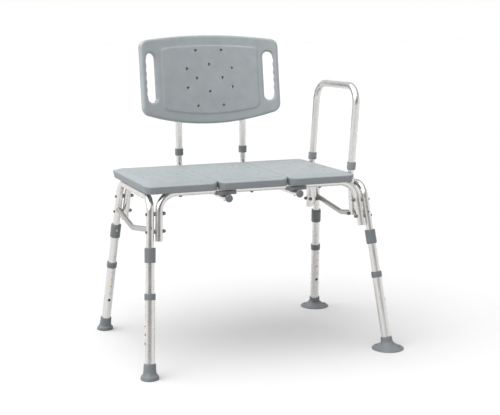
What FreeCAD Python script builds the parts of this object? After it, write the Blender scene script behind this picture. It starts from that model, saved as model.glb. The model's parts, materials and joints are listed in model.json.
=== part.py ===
import FreeCAD, Part
import math
import os

# Bath transfer bench. Millimetres, +Z up, +X towards the end with the arm rail, +Y towards the backrest.
# The frame is symmetric about X = 0 and Y = 0 while it is built. The last step moves everything so that
# the origin is at the middle of the bounding box, on the floor.

V = FreeCAD.Vector
UP = V(0, 0, 1)
ALONG_X = V(1, 0, 0)
ALONG_Y = V(0, 1, 0)

# Tube sizes: each one slides inside the next.
WALL = 1.5
D_SMALL = 19.05
D_FRAME = 22.2
D_LEG = 25.4
D_LOWER = 28.6
D_BRACE = 16.0

# Legs: all four splay outwards. The axis of a leg is given where it crosses LEG_REF_Z.
LEG_REF_Z = 300.0
LEG_X = 354.2
LEG_Y = 206.8
SPLAY_X = 0.082
SPLAY_Y = 0.204

# Under-frame
END_BAR_Z = 498.5
END_BEND = 50.0
STUB_LOW_Z = 292.0
RAIL_Z = 509.5
RAIL_BEND = 56.0
RAIL_END_Z = 376.0
RAIL_LEG_INSET = 26.2
BRACE_END_Z = 411.0
BRACE_MID_Z = 385.0
BRACE_BEND = 60.0
RAIL_BOLT_Z = (453.0, 404.0)

# Seat
SEAT_W = 660.0
SEAT_D = 402.0
SEAT_X = -27.5
SEAT_Y = 8.0
SEAT_TOP = 539.5
SEAT_T = 29.0
SEAM = 1.2
PANEL_W = SEAT_W / 3 - SEAM
SEAT_EDGE = 7.0
OUTER_CORNER = 22.0
INNER_CORNER = 14.0
GROOVE_R = D_FRAME / 2 + 0.25
GROOVE_MAX_X = 300.0
DRAIN_D = 6.0
SEAT_DRAINS = ((45, 110), (0, 60), (75, 45), (45, 0), (75, -45), (0, -60), (45, -110))
SEAT_WALL = 3.0

# Leg pieces, by the height of the leg axis
UPPER_TOP_Z = 357.0
UPPER_LOW_Z = 127.0
UPPER_COLLAR_Z = (319.0, 361.0)
UPPER_COLLAR_R = 15.7
LOWER_TOP_Z = 232.0
LOWER_COLLAR_Z = (216.5, 234.5)
LOWER_COLLAR_R = 16.1
HOLE_PITCH = 25.4
HEIGHT_HOLE_Z = 157.0
FRONT_ROW_DROP = 10.5
HEIGHT_HOLE_STEPS = 2
TOP_BUTTON_Z = 345.0
PIN_R = 4.0
PIN_HOLE_R = 4.3

# Feet
TIP_TOP_Z = 42.0
TIP_R = 17.2
TIP_FLANGE_R = 26.0
TIP_FLANGE_H = 7.0
CUP_R = 49.0
CUP_TOP_Z = 36.0
CUP_NECK_R = 17.5

# Backrest
POST_X = 111.7
POST_Y = 274.0
BACK_TUBE_Z = 487.4
BACK_TUBE_FRONT_Y = -198.0
BACK_BEND = 57.0
BACK_TUBE_TOP_Z = 655.0
POST_LOW_Z = 564.0
POST_COLLAR_Z = (560.0, 583.0)
POST_LEAN = math.radians(7.6)
POST_KINK_Z = 676.0
POST_TOP_Z = 840.0
BACK_BUTTON_Z = 604.0

PANEL_HALF_W = 239.0
PANEL_PLAN_R = 880.0
PANEL_T = 24.0
PANEL_BASE_Y = 276.0
PANEL_BASE_Z = 661.0
PANEL_H = 290.5
PANEL_BOTTOM_RISE = 36.0
PANEL_TOP_DROP = 21.0
PANEL_CORNER = 20.0
PANEL_RIM = 5.0
HANDLE_X = 204.0
HANDLE_W = 34.0
HANDLE_LOW = 71.0
HANDLE_HIGH = 232.0
SCALLOPS = 5
SCALLOP_R = 15.0
SCALLOP_DEPTH = 3.0
CUT_AHEAD = 150.0
CUT_DEPTH = 200.0
BACK_HOLE_D = 8.0
BACK_HOLES = ((45, 90.6), (0, 44.4), (79, 31), (45, 0), (79, -31), (0, -44.4), (45, -90.6))
BACK_HOLES_MID = 149.3
BOSS_R = 15.0
BOSS_TOP = 186.0

SADDLE_W = 62.0
SADDLE_D = 34.0
SADDLE_TOP_Z = 506.5
SADDLE_PLATE_Z = 496.0
CRADLE_HALF_W = 13.0
CRADLE_D = 26.0
CRADLE_LOW_Z = 488.5
SADDLE_SCREW_TOP_Z = 504.0

# Arm rail
ARM_X = 313.9
ARM_HALF = 142.4
ARM_LEAN = 0.0723
ARM_REF_Z = 553.0
ARM_TOP_Z = 795.0
ARM_BEND = 56.0
ARM_LOW_Z = 545.0
ARM_COLLAR_Z = (541.0, 564.5)
ARM_STUB_LOW_Z = 400.0
ARM_STUB_KINK_Z = 528.0
ARM_STUB_TOP_Z = 640.0
ARM_STUB_SPLAY = 0.055
ARM_BUTTON_Z = 592.0

SMALL_COLLAR_R = 13.6

# Snap buttons: distance of the tip and of the base plate from the tube axis, and radius of the base plate
TOP_BUTTON = (17.0, 6.2, 5.6)
HEIGHT_BUTTON = (17.6, 7.8, 6.0)
SMALL_BUTTON = (14.0, 4.6, 5.2)
BUTTON_DOME = 2.4
BUTTON_PLATE_T = 1.2
HOLE_REACH = 25.0

# Fasteners and fits: FIT is the gap of a tight joint, SLIDE that of a part that slides
BOLT_R = 3.0
BOLT_HOLE_R = 3.03
BOLT_HEAD_R = 4.6
ACCESS_HOLE_R = 2.3
ACCESS_HOLE_Z = 417.0
FIT = 0.05
SLIDE = 0.25
SPACER_R = 6.0
TIP_BORE_Z = 12.0
CUP_BORE_Z = 16.0
FLAT_SEAT = 0.05
LEG_SEAT = 0.5
STUB_SEAT = 0.4
BRACE_SEAT = 0.2
SCREW_R = 2.5
SCREW_HOLE_R = 2.55
SCREW_REACH = 26.0


def leg_point(side, end, z):
    """Point on the axis of the leg at side (-1 left, 1 right) and end (-1 front, 1 rear)."""
    down = LEG_REF_Z - z
    return V(side * (LEG_X + SPLAY_X * down), end * (LEG_Y + SPLAY_Y * down), z)


def leg_axis(side, end):
    """Unit vector up the leg."""
    axis = leg_point(side, end, 400) - leg_point(side, end, 300)
    return axis.normalize()


def path(points, bend):
    """Wire of straight runs through the points, with an arc of radius bend at each inner point."""
    edges = []
    start = points[0]
    for before, corner, after in zip(points, points[1:], points[2:]):
        back = (before - corner).normalize()
        ahead = (after - corner).normalize()
        half = back.getAngle(ahead) / 2
        reach = bend / math.tan(half)
        first = corner + back * reach
        last = corner + ahead * reach
        bisector = (back + ahead).normalize()
        middle = corner + bisector * (bend / math.sin(half) - bend)
        edges.append(Part.LineSegment(start, first).toShape())
        edges.append(Part.Arc(first, middle, last).toShape())
        start = last
    edges.append(Part.LineSegment(start, points[-1]).toShape())
    return Part.Wire(edges)


def sweep(points, bend, radius):
    """Solid rod along the points."""
    heading = (points[1] - points[0]).normalize()
    ring = Part.Wire(Part.makeCircle(radius, points[0], heading))
    return path(points, bend).makePipeShell([ring], True, True)


def bent_tube(points, bend, outer_d):
    """Round tube along the points, open at both ends."""
    outer = sweep(points, bend, outer_d / 2)
    return outer.cut(sweep(points, bend, outer_d / 2 - WALL))


def rod(start, end, radius):
    """Solid cylinder from start to end."""
    span = end - start
    return Part.makeCylinder(radius, span.Length, start, span)


def sleeve(start, end, outer_r, inner_r):
    """Straight tube from start to end."""
    return rod(start, end, outer_r).cut(rod(start, end, inner_r))


def across(axis, direction):
    """Unit vector nearest to direction that is square to axis."""
    side = direction - axis * direction.dot(axis)
    return side.normalize()


def turned(profile, base, axis):
    """Solid of revolution from (radius, height) points, standing on base along axis."""
    corners = [V(r, 0, h) for r, h in profile]
    face = Part.Face(Part.makePolygon(corners + [corners[0]]))
    solid = face.revolve(V(0, 0, 0), UP, 360)
    solid.Placement = FreeCAD.Placement(base, FreeCAD.Rotation(UP, axis))
    return solid


def snap_button(centre, facing, tip, plate, plate_r):
    """Domed button of a spring clip: its tip and its base plate are at these distances from centre."""
    plate_top = plate + BUTTON_PLATE_T
    pin = [(0, plate), (plate_r, plate), (plate_r, plate_top), (PIN_R, plate_top)]
    pin += [(PIN_R, tip - BUTTON_DOME), (PIN_R * 0.8, tip - BUTTON_DOME / 3), (PIN_R * 0.4, tip), (0, tip)]
    return turned(pin, centre, facing)


def rounded_block(x0, x1, y0, y1, z0, z1, radii):
    """Block with its four upright edges rounded: radii are for the corners at x0 and at x1."""
    r0, r1 = radii
    corners = ((x0, y0, r0), (x1, y0, r1), (x1, y1, r1), (x0, y1, r0))
    edges = []
    ends = []
    for i, (x, y, r) in enumerate(corners):
        px, py, _ = corners[i - 1]
        nx, ny, _ = corners[(i + 1) % 4]
        back = V(px - x, py - y, 0).normalize()
        ahead = V(nx - x, ny - y, 0).normalize()
        corner = V(x, y, z0)
        middle = corner + (back + ahead) * (r * (1 - math.sqrt(0.5)))
        ends.append((corner + back * r, middle, corner + ahead * r))
    for i, (first, middle, last) in enumerate(ends):
        edges.append(Part.Arc(first, middle, last).toShape())
        edges.append(Part.LineSegment(last, ends[(i + 1) % 4][0]).toShape())
    return Part.Face(Part.Wire(edges)).extrude(V(0, 0, z1 - z0))


# ---------------------------------------------------------------- under-frame

def end_frame(side):
    """Inverted U of one end: two splayed stubs and a bar, with a small hole outside each end of the brace."""
    points = [leg_point(side, -1, STUB_LOW_Z), leg_point(side, -1, END_BAR_Z)]
    points += [leg_point(side, 1, END_BAR_Z), leg_point(side, 1, STUB_LOW_Z)]
    frame = bent_tube(points, END_BEND, D_FRAME)
    for end in (-1, 1):
        frame = frame.cut(top_button_hole(side, end))
        access = leg_point(side, end, ACCESS_HOLE_Z)
        frame = frame.cut(Part.makeCylinder(ACCESS_HOLE_R, D_FRAME / 2 + 1, access, ALONG_Y * end))
    return frame


def brace(side):
    """Shallow V between the front and rear stubs, coped onto both."""
    front = leg_point(side, -1, BRACE_END_Z)
    rear = leg_point(side, 1, BRACE_END_Z)
    low = V(leg_point(side, 1, BRACE_MID_Z).x, 0, BRACE_MID_Z)
    tube = bent_tube([front, low, rear], BRACE_BEND, D_BRACE)
    for end in (-1, 1):
        stub = rod(leg_point(side, end, STUB_LOW_Z), leg_point(side, end, 470), D_FRAME / 2 + 0.02)
        tube = tube.cut(stub)
    return max(tube.Solids, key=lambda solid: solid.Volume)


def rail_leg_point(side, end, z):
    """Point on the axis of the down-leg of a rail, just inboard of a stub."""
    point = leg_point(side, end, z)
    return V(point.x - side * RAIL_LEG_INSET, point.y, z)


def rail(end):
    """Long rail under the seat panels, bent down at both ends."""
    points = [rail_leg_point(-1, end, RAIL_END_Z), rail_leg_point(-1, end, RAIL_Z)]
    points += [rail_leg_point(1, end, RAIL_Z), rail_leg_point(1, end, RAIL_END_Z)]
    return bent_tube(points, RAIL_BEND, D_FRAME)


def rail_bolt_line(side, end, z):
    """Outboard and inboard ends of the shank of a bolt through a stub and a rail leg."""
    y = leg_point(side, end, z).y
    outer = leg_point(side, end, z).x + side * (D_FRAME / 2 + LEG_SEAT)
    inner = rail_leg_point(side, end, z).x - side * (D_FRAME / 2 + LEG_SEAT)
    return V(outer, y, z), V(inner, y, z)


def rail_spacer(side, end, z):
    """Short spacer between a stub and a rail leg, coped to both."""
    stub = leg_point(side, end, z)
    rail_leg = rail_leg_point(side, end, z)
    spacer = sleeve(stub, rail_leg, SPACER_R, BOLT_HOLE_R)
    for inset in (0.0, RAIL_LEG_INSET):
        low = leg_point(side, end, z - 20) - ALONG_X * (side * inset)
        high = leg_point(side, end, z + 20) - ALONG_X * (side * inset)
        spacer = spacer.cut(rod(low, high, D_FRAME / 2 + FIT))
    return max(spacer.Solids, key=lambda solid: solid.Volume)


def pan_head_bolt(head_at, tail_at):
    """Bolt with a domed head beyond head_at and its thread end a little beyond tail_at."""
    out = (head_at - tail_at).normalize()
    shank = rod(tail_at - out * 4, head_at, BOLT_R)
    head = turned([(0, 0), (BOLT_HEAD_R, 0), (BOLT_HEAD_R, 0.9), (3.2, 2.4), (0, 2.9)], head_at, out)
    socket = Part.makeCylinder(1.7, 3, head_at + out * 1.5, out)
    return shank.fuse(head).removeSplitter().cut(socket)


def cap_nut(seat_at, out):
    """Domed nut on a bolt: a hexagon with a closed round end."""
    hexagon = Part.makePolygon([V(5.6 * math.cos(math.pi * i / 3), 5.6 * math.sin(math.pi * i / 3), 0)
                                for i in range(7)])
    nut = Part.Face(hexagon).extrude(V(0, 0, 4))
    dome = turned([(0, 4), (4.9, 4), (4.2, 6.6), (2.4, 8.2), (0, 8.8)], V(0, 0, 0), UP)
    nut = nut.fuse(dome).removeSplitter()
    nut.Placement = FreeCAD.Placement(seat_at, FreeCAD.Rotation(UP, out))
    bore = Part.makeCylinder(BOLT_HOLE_R, 5, seat_at, out)
    return nut.cut(bore)


# ---------------------------------------------------------------- seat

def panel_span(index):
    """Left and right edges of seat panel 0, 1 or 2."""
    middle = SEAT_X + (index - 1) * SEAT_W / 3
    return middle - PANEL_W / 2, middle + PANEL_W / 2


def seat_screw_points():
    """Where the seat screws cross the rails: one at the middle of each panel on each rail."""
    rail_y = leg_point(1, 1, RAIL_Z).y
    return [V(sum(panel_span(i)) / 2, end * rail_y, RAIL_Z) for i in range(3) for end in (-1, 1)]


def seat_screw(at):
    """Screw from below, through a rail, into the seat."""
    foot = at - UP * (D_FRAME / 2 + FLAT_SEAT)
    shank = rod(foot, foot + UP * 36, SCREW_R)
    head = turned([(0, 0), (5.0, 0), (5.0, 1.2), (3.4, 3.0), (0, 3.6)], foot, UP * -1)
    return shank.fuse(head).removeSplitter()


def drain_points(index):
    """Where the drain holes of a seat panel start, just below its underside."""
    middle = sum(panel_span(index)) / 2
    return [V(middle + sign * dx, SEAT_Y + dy, SEAT_TOP - SEAT_T - 1)
            for dx, dy in SEAT_DRAINS for sign in ((1,) if dx == 0 else (-1, 1))]


def seat_cavity(index):
    """Hollow inside a blow-moulded panel. Walls stay around its drains, its screws and the rail grooves."""
    x0, x1 = panel_span(index)
    inset = SEAT_EDGE
    low_z = SEAT_TOP - SEAT_T + SEAT_WALL
    high_z = SEAT_TOP - SEAT_WALL
    cavity = rounded_block(x0 + inset, x1 - inset, SEAT_Y - SEAT_D / 2 + inset, SEAT_Y + SEAT_D / 2 - inset,
                           low_z, high_z, (INNER_CORNER, INNER_CORNER))
    for at in drain_points(index):
        cavity = cavity.cut(Part.makeCylinder(DRAIN_D / 2 + SEAT_WALL, SEAT_T + 2, at))
    for at in seat_screw_points():
        cavity = cavity.cut(rod(at, at + UP * SEAT_T, SCREW_HOLE_R + SEAT_WALL))
    rail_y = leg_point(1, 1, RAIL_Z).y
    for end in (-1, 1):
        left, right = (V(x, end * rail_y, RAIL_Z) for x in (x0, x1))
        cavity = cavity.cut(rod(left, right, GROOVE_R + SEAT_WALL))
    return cavity


def seat_panel(index):
    """One of three moulded panels, with a groove underneath for each rail and small drain holes."""
    x0, x1 = panel_span(index)
    y0 = SEAT_Y - SEAT_D / 2
    y1 = SEAT_Y + SEAT_D / 2
    radii = (OUTER_CORNER if index == 0 else INNER_CORNER, OUTER_CORNER if index == 2 else INNER_CORNER)
    panel = rounded_block(x0, x1, y0, y1, SEAT_TOP - SEAT_T, SEAT_TOP, radii)
    rim = [edge for edge in panel.Edges if edge.BoundBox.ZMin > SEAT_TOP - 0.01]
    panel = panel.makeFillet(SEAT_EDGE, rim)
    rail_y = leg_point(1, 1, RAIL_Z).y
    for end in (-1, 1):
        left = max(x0 - 1, -GROOVE_MAX_X)
        right = min(x1 + 1, GROOVE_MAX_X)
        panel = panel.cut(rod(V(left, end * rail_y, RAIL_Z), V(right, end * rail_y, RAIL_Z), GROOVE_R))
    panel = panel.cut(seat_cavity(index))
    for at in drain_points(index):
        panel = panel.cut(Part.makeCylinder(DRAIN_D / 2, SEAT_T + 2, at))
    for at in seat_screw_points():
        panel = panel.cut(rod(at, at + UP * SCREW_REACH, SCREW_HOLE_R))
    return panel


# ---------------------------------------------------------------- legs

def height_facing(side, end):
    """Direction that the row of height holes faces: outboard in front, inwards at the rear."""
    wanted = ALONG_X * side if end < 0 else ALONG_Y * -1
    return across(leg_axis(side, end), wanted)


def height_hole_z(end):
    """Height of the hole that the height button is in."""
    return HEIGHT_HOLE_Z if end > 0 else HEIGHT_HOLE_Z - FRONT_ROW_DROP


def top_facing(side, end):
    """Direction that the button in the upper collar faces."""
    wanted = ALONG_X if (side, end) == (1, 1) else ALONG_Y * -end
    return across(leg_axis(side, end), wanted)


def button_hole(side, end, z, facing):
    """Cutter for a button hole at height z of a leg."""
    return Part.makeCylinder(PIN_HOLE_R, HOLE_REACH, leg_point(side, end, z), facing)


def top_button_hole(side, end):
    return button_hole(side, end, TOP_BUTTON_Z, top_facing(side, end))


def upper_leg(side, end):
    """Middle tube of a leg: it takes the stub at its top and runs down inside the lower tube."""
    tube = sleeve(leg_point(side, end, UPPER_LOW_Z), leg_point(side, end, UPPER_TOP_Z),
                  D_LEG / 2, D_LEG / 2 - WALL)
    tube = tube.cut(top_button_hole(side, end))
    return tube.cut(button_hole(side, end, height_hole_z(end), height_facing(side, end)))


def upper_collar(side, end):
    """Moulded sleeve at the top of the upper leg, with a lip that closes onto the stub."""
    low, high = UPPER_COLLAR_Z
    base = leg_point(side, end, low)
    axis = leg_axis(side, end)
    lip = (leg_point(side, end, UPPER_TOP_Z) - base).Length + 0.3
    tall = (leg_point(side, end, high) - base).Length
    r = UPPER_COLLAR_R
    bore = D_LEG / 2 + FIT
    neck = D_FRAME / 2 + SLIDE
    profile = [(bore, 0), (r - 0.6, 0), (r, 0.8), (r, tall - 1.2), (r - 1.0, tall)]
    profile += [(neck, tall), (neck, lip), (bore, lip)]
    return turned(profile, base, axis).cut(top_button_hole(side, end))


def lower_leg(side, end):
    """Outer tube of a leg, with its row of height holes."""
    tube = sleeve(leg_point(side, end, foot_bore_z(side) + 0.4), leg_point(side, end, LOWER_TOP_Z),
                  D_LOWER / 2, D_LOWER / 2 - WALL)
    for step in range(-HEIGHT_HOLE_STEPS, HEIGHT_HOLE_STEPS + 1):
        z = height_hole_z(end) + step * HOLE_PITCH * leg_axis(side, end).z
        tube = tube.cut(button_hole(side, end, z, height_facing(side, end)))
    return tube


def lower_collar(side, end):
    """Moulded ring on the top of the lower tube."""
    low, high = LOWER_COLLAR_Z
    base = leg_point(side, end, low)
    lip = (leg_point(side, end, LOWER_TOP_Z) - base).Length + 0.3
    tall = (leg_point(side, end, high) - base).Length
    r = LOWER_COLLAR_R
    bore = D_LOWER / 2 + FIT
    neck = D_LEG / 2 + SLIDE
    profile = [(bore, 0), (r - 0.5, 0), (r, 0.7), (r, tall - 1.6), (r - 1.3, tall)]
    profile += [(neck, tall), (neck, lip), (bore, lip)]
    return turned(profile, base, leg_axis(side, end))


def foot_bore_z(side):
    """Height at which the lower tube bottoms in its foot."""
    return TIP_BORE_Z if side < 0 else CUP_BORE_Z


def rubber_tip(side, end):
    """Flared rubber tip: a sleeve along the leg on a flange that is flat on the floor."""
    heel = leg_point(side, end, 0)
    h = TIP_FLANGE_H
    flange = turned([(0, 0), (TIP_FLANGE_R - 1.5, 0), (TIP_FLANGE_R, 1.5), (TIP_FLANGE_R, h - 1.5),
                     (TIP_FLANGE_R - 1.5, h), (TIP_R + 3.0, h + 7), (0, h + 7)], heel, UP)
    boot = rod(leg_point(side, end, TIP_FLANGE_H), leg_point(side, end, TIP_TOP_Z), TIP_R)
    bore = rod(leg_point(side, end, foot_bore_z(side)), leg_point(side, end, TIP_TOP_Z + 5),
               D_LOWER / 2 + FIT)
    return flange.fuse(boot).cut(bore).removeSplitter()


def suction_foot(side, end):
    """Suction cup with a neck along the leg and a hollow underside."""
    heel = leg_point(side, end, 0)
    cup = turned([(0, 0), (CUP_R - 1.0, 0), (CUP_R, 1.0), (CUP_R, 3.0), (CUP_R - 3, 5.5), (38, 10),
                  (27, 15.5), (22, 20), (0, 22)], heel, UP)
    neck = rod(leg_point(side, end, 10), leg_point(side, end, CUP_TOP_Z), CUP_NECK_R)
    hollow = turned([(0, -1), (41, -1), (41, 0), (30, 4), (14, 6.5), (0, 7)], heel, UP)
    bore = rod(leg_point(side, end, foot_bore_z(side)), leg_point(side, end, CUP_TOP_Z + 5),
               D_LOWER / 2 + FIT)
    return cup.fuse(neck).cut(hollow).cut(bore).removeSplitter()


# ---------------------------------------------------------------- backrest

def backrest_tube(side):
    """L-shaped tube: it runs under the seat through two saddles and turns up behind the seat."""
    x = side * POST_X
    points = [V(x, BACK_TUBE_FRONT_Y, BACK_TUBE_Z), V(x, POST_Y, BACK_TUBE_Z), V(x, POST_Y, BACK_TUBE_TOP_Z)]
    tube = bent_tube(points, BACK_BEND, D_SMALL)
    return tube.cut(back_button_hole(side))


def back_button_hole(side):
    return Part.makeCylinder(PIN_HOLE_R, HOLE_REACH, V(side * POST_X, POST_Y, BACK_BUTTON_Z), ALONG_Y)


def tube_plug(side):
    """Round plug in the open front end of a backrest tube."""
    at = V(side * POST_X, BACK_TUBE_FRONT_Y, BACK_TUBE_Z)
    stem_r = D_SMALL / 2 - WALL - 0.05
    profile = [(0, -16), (stem_r, -16), (stem_r, 0), (11.3, 0), (11.3, 3.2), (10.3, 4.4), (0, 4.8)]
    return turned(profile, at, ALONG_Y * -1)


def post_point(side, z):
    """Point on the axis of an upper backrest post: upright, then leaning back with the panel."""
    lean = max(0.0, z - POST_KINK_Z) * math.tan(POST_LEAN)
    return V(side * POST_X, POST_Y + lean, z)


def back_post(side):
    """Upper post: it slides over the end of the L-shaped tube and ends inside the back panel."""
    points = [post_point(side, POST_LOW_Z), post_point(side, POST_KINK_Z), post_point(side, POST_TOP_Z)]
    tube = bent_tube(points, 120, D_FRAME)
    return tube.cut(back_button_hole(side))


def ring_collar(low, high, tube_end, tube_r, neck_r, outer_r):
    """Moulded ring on a tube end: low and high are its ends, tube_end is where the tube stops inside."""
    axis = high - low
    tall = axis.Length
    lip = (tube_end - low).Length
    profile = [(neck_r, 0), (outer_r - 1.2, 0), (outer_r, 1.4), (outer_r, tall - 0.7), (outer_r - 0.5, tall)]
    profile += [(tube_r, tall), (tube_r, lip), (neck_r, lip)]
    return turned(profile, low, axis)


def panel_place(shape):
    """Lean a back panel shape that was built upright with its middle line on the Z axis."""
    turn = FreeCAD.Rotation(ALONG_X, -math.degrees(POST_LEAN))
    shape.Placement = FreeCAD.Placement(V(0, PANEL_BASE_Y, PANEL_BASE_Z), turn)
    return shape


def arc_edge(first, middle, last):
    return Part.Arc(first, middle, last).toShape()


def panel_outline():
    """Front view of the back panel: bowed top and bottom edges, upright sides, rounded corners."""
    w = PANEL_HALF_W
    low = PANEL_BOTTOM_RISE
    high = PANEL_H - PANEL_TOP_DROP
    corners = [V(-w, 0, low), V(w, 0, low), V(w, 0, high), V(-w, 0, high)]
    edges = [arc_edge(corners[0], V(0, 0, 0), corners[1]),
             Part.LineSegment(corners[1], corners[2]).toShape(),
             arc_edge(corners[2], V(0, 0, PANEL_H), corners[3]),
             Part.LineSegment(corners[3], corners[0]).toShape()]
    return Part.Face(Part.Wire(edges))


def curved_slab(thickness, offset):
    """Part of a hollow cylinder with an upright axis in front of the panel: a sheet bent in plan."""
    centre = V(0, -PANEL_PLAN_R, -20)
    outer = Part.makeCylinder(PANEL_PLAN_R + offset + thickness / 2, PANEL_H + 40, centre)
    inner = Part.makeCylinder(PANEL_PLAN_R + offset - thickness / 2, PANEL_H + 40, centre)
    return outer.cut(inner)


def handle_slot(side):
    """Cutter for a hand hole: an upright slot with round ends and five finger scallops outboard."""
    r = HANDLE_W / 2
    x = side * HANDLE_X
    low = Part.makeCylinder(r, CUT_DEPTH, V(x, -CUT_AHEAD, HANDLE_LOW + r), ALONG_Y)
    high = Part.makeCylinder(r, CUT_DEPTH, V(x, -CUT_AHEAD, HANDLE_HIGH - r), ALONG_Y)
    flat = HANDLE_HIGH - HANDLE_LOW - HANDLE_W
    slot = low.fuse(high).fuse(Part.makeBox(HANDLE_W, CUT_DEPTH, flat, V(x - r, -CUT_AHEAD, HANDLE_LOW + r)))
    for i in range(SCALLOPS):
        z = HANDLE_LOW + r + flat * (i + 0.5) / SCALLOPS
        at = V(x + side * (r + SCALLOP_DEPTH - SCALLOP_R), -CUT_AHEAD, z)
        slot = slot.fuse(Part.makeCylinder(SCALLOP_R, CUT_DEPTH, at, ALONG_Y))
    return slot


def back_panel():
    """Moulded back panel, bent in plan so that its sides come forward, with sockets for the posts."""
    outline = panel_outline()
    outline.translate(V(0, -CUT_AHEAD, 0))
    panel = outline.extrude(V(0, 2 * CUT_AHEAD, 0))
    upright = [edge for edge in panel.Edges if abs(abs(edge.BoundBox.XMin) - PANEL_HALF_W) < 0.01
               and edge.BoundBox.YLength > 200 and edge.BoundBox.XLength < 0.01]
    panel = panel.makeFillet(PANEL_CORNER, upright)
    panel = panel.common(curved_slab(PANEL_T, 0))
    rims = [edge for edge in panel.Edges if edge.Length > 60 and edge.BoundBox.YLength < 60]
    panel = panel.makeFillet(PANEL_RIM, rims)
    for side in (-1, 1):
        panel = panel.cut(handle_slot(side))
    for x, dz in BACK_HOLES:
        for sign in ((1,) if x == 0 else (-1, 1)):
            at = V(sign * x, -CUT_AHEAD, BACK_HOLES_MID + dz)
            panel = panel.cut(Part.makeCylinder(BACK_HOLE_D / 2, CUT_DEPTH, at, ALONG_Y))
    panel = panel_place(panel)
    for side in (-1, 1):
        low = post_point(side, PANEL_BASE_Z + 34)
        high = post_point(side, PANEL_BASE_Z + BOSS_TOP)
        panel = panel.fuse(rod(low, high, BOSS_R))
    for side in (-1, 1):
        panel = panel.cut(sweep([post_point(side, 600), post_point(side, POST_KINK_Z),
                                 post_point(side, POST_TOP_Z + 0.4)], 120, D_FRAME / 2 + FIT))
        for at in back_screw_points(side):
            panel = panel.cut(rod(at, at + lean_out() * 30, SCREW_HOLE_R))
    return panel


def lean_out():
    """Unit vector straight out of the rear of the leaning panel."""
    return V(0, math.cos(POST_LEAN), -math.sin(POST_LEAN))


def back_screw_points(side):
    """Where two screws cross the axis of each upper post."""
    return [post_point(side, PANEL_BASE_Z + h) for h in (70, 160)]


def back_screw(at):
    """Screw from the rear through a socket of the panel into a post."""
    out = lean_out()
    head_at = at + out * (BOSS_R + FLAT_SEAT)
    shank = rod(head_at - out * 8, head_at, SCREW_R)
    head = turned([(0, 0), (5.0, 0), (5.0, 1.2), (3.4, 3.0), (0, 3.6)], head_at, out)
    return shank.fuse(head).removeSplitter()


def saddle(side, end):
    """Moulded saddle: a plate cupped under a rail, with a cradle below it for the top of the backrest tube."""
    x = side * POST_X
    y = end * leg_point(1, 1, RAIL_Z).y
    half = SADDLE_D / 2
    plate = rounded_block(x - SADDLE_W / 2, x + SADDLE_W / 2, y - half, y + half,
                          SADDLE_PLATE_Z, SADDLE_TOP_Z, (3, 3))
    cradle = Part.makeBox(2 * CRADLE_HALF_W, CRADLE_D, SADDLE_PLATE_Z - CRADLE_LOW_Z + 1,
                          V(x - CRADLE_HALF_W, y - CRADLE_D / 2, CRADLE_LOW_Z))
    body = plate.fuse(cradle).removeSplitter()
    body = body.cut(rod(V(x - SADDLE_W, y, RAIL_Z), V(x + SADDLE_W, y, RAIL_Z), D_FRAME / 2 + FIT))
    body = body.cut(Part.makeCylinder(D_SMALL / 2 + 0.15, 2 * SADDLE_D, V(x, y - SADDLE_D, BACK_TUBE_Z), ALONG_Y))
    return body.cut(rod(V(x, y, BACK_TUBE_Z), V(x, y, RAIL_Z), SCREW_HOLE_R))


def saddle_screw(side, end):
    """Screw from below, through a backrest tube and its saddle, into the lower wall of a rail."""
    at = V(side * POST_X, end * leg_point(1, 1, RAIL_Z).y, BACK_TUBE_Z - D_SMALL / 2 - FLAT_SEAT)
    shank = rod(at, V(at.x, at.y, SADDLE_SCREW_TOP_Z), SCREW_R)
    head = turned([(0, 0), (4.2, 0), (4.2, 0.8), (2.9, 2.1), (0, 2.6)], at, UP * -1)
    return shank.fuse(head).removeSplitter()


def saddle_screw_lines():
    """Clearance lines of the four saddle screws."""
    rail_y = leg_point(1, 1, RAIL_Z).y
    return [(V(side * POST_X, end * rail_y, BACK_TUBE_Z - D_SMALL), V(side * POST_X, end * rail_y, RAIL_Z - 6))
            for side, end in CORNERS]


# ---------------------------------------------------------------- arm rail

def arm_point(end, z):
    """Point on the leaning axis of a leg of the arm rail."""
    return V(ARM_X + ARM_LEAN * (z - ARM_REF_Z), SEAT_Y + end * ARM_HALF, z)


def arm_button_hole(end):
    return Part.makeCylinder(PIN_HOLE_R, HOLE_REACH, arm_point(end, ARM_BUTTON_Z), ALONG_Y)


def arm_rail():
    """Inverted U that slides over the two arm stubs."""
    points = [arm_point(-1, ARM_LOW_Z), arm_point(-1, ARM_TOP_Z)]
    points += [arm_point(1, ARM_TOP_Z), arm_point(1, ARM_LOW_Z)]
    frame = bent_tube(points, ARM_BEND, D_FRAME)
    for end in (-1, 1):
        frame = frame.cut(arm_button_hole(end))
    return frame


def arm_stub_point(end, z):
    """Point on the lower part of an arm stub, which splays outwards below the kink."""
    kink = arm_point(end, ARM_STUB_KINK_Z)
    return V(kink.x + ARM_STUB_SPLAY * (ARM_STUB_KINK_Z - z), kink.y, z)


def arm_stub(end):
    """Fixed tube that carries one leg of the arm rail."""
    points = [arm_stub_point(end, ARM_STUB_LOW_Z)]
    points += [arm_point(end, ARM_STUB_KINK_Z), arm_point(end, ARM_STUB_TOP_Z)]
    tube = bent_tube(points, 60, D_SMALL)
    return tube.cut(arm_button_hole(end))


def end_bar_height(y):
    """Height of the axis of the bar of an end frame, which curves down near its ends."""
    corner = leg_point(1, 1, END_BAR_Z)
    half = (math.pi / 2 + math.atan(SPLAY_Y)) / 2
    past = max(0.0, abs(y) - corner.y + END_BEND / math.tan(half))
    return END_BAR_Z - END_BEND + math.sqrt(END_BEND ** 2 - past ** 2)


def brace_height(y):
    """Height of the axis of a brace."""
    return BRACE_MID_Z + (BRACE_END_Z - BRACE_MID_Z) * abs(y) / leg_point(1, 1, BRACE_END_Z).y


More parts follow.
